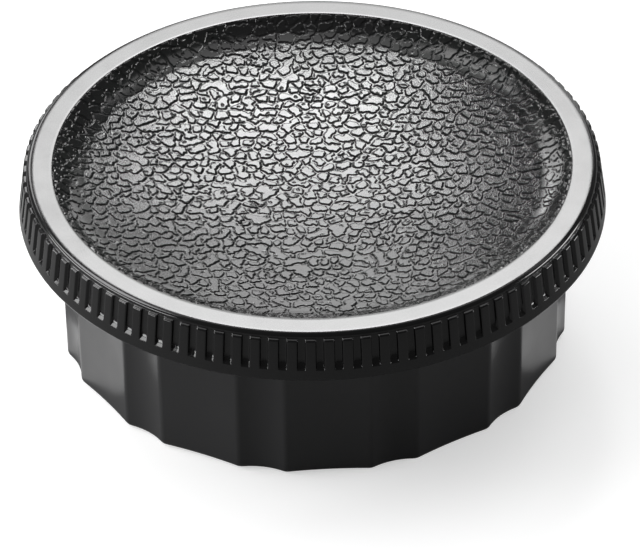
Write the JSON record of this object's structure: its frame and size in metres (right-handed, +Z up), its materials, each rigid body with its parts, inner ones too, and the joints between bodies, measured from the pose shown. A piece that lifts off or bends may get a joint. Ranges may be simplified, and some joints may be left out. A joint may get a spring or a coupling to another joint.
{
  "type": "camera body cap with rear lens cap",
  "caption": "Round black camera body cap with a ribbed grip and a leather-grained dished face, twist-locked by a bayonet onto a fluted, cup-shaped rear lens cap.",
  "frame": {"origin": "centre of the rear lens cap's base, on the surface the pair stands on", "axes": "+Z up along the common axis of both caps, +X through the middle of a wide panel of the fluted wall"},
  "size_m": [0.0628, 0.0628, 0.0212],
  "materials": {
    "body_cap_plastic": "glossy black injection moulded plastic, polished on the land, leather-grained in the dish",
    "rear_cap_plastic": "satin black injection moulded plastic"
  },
  "bodies": {
    "rear_cap": {"rear_lens_cap": "rear_cap_plastic"},
    "body_cap": {"body_cap": "body_cap_plastic"}
  },
  "joints": [
    {"name": "bayonet_twist", "type": "hinge", "parent": "rear_cap", "child": "body_cap", "pos_m": [0, 0, 0.0158], "axis": [0, 0, 1], "range_deg": [0, 60]}
  ]
}
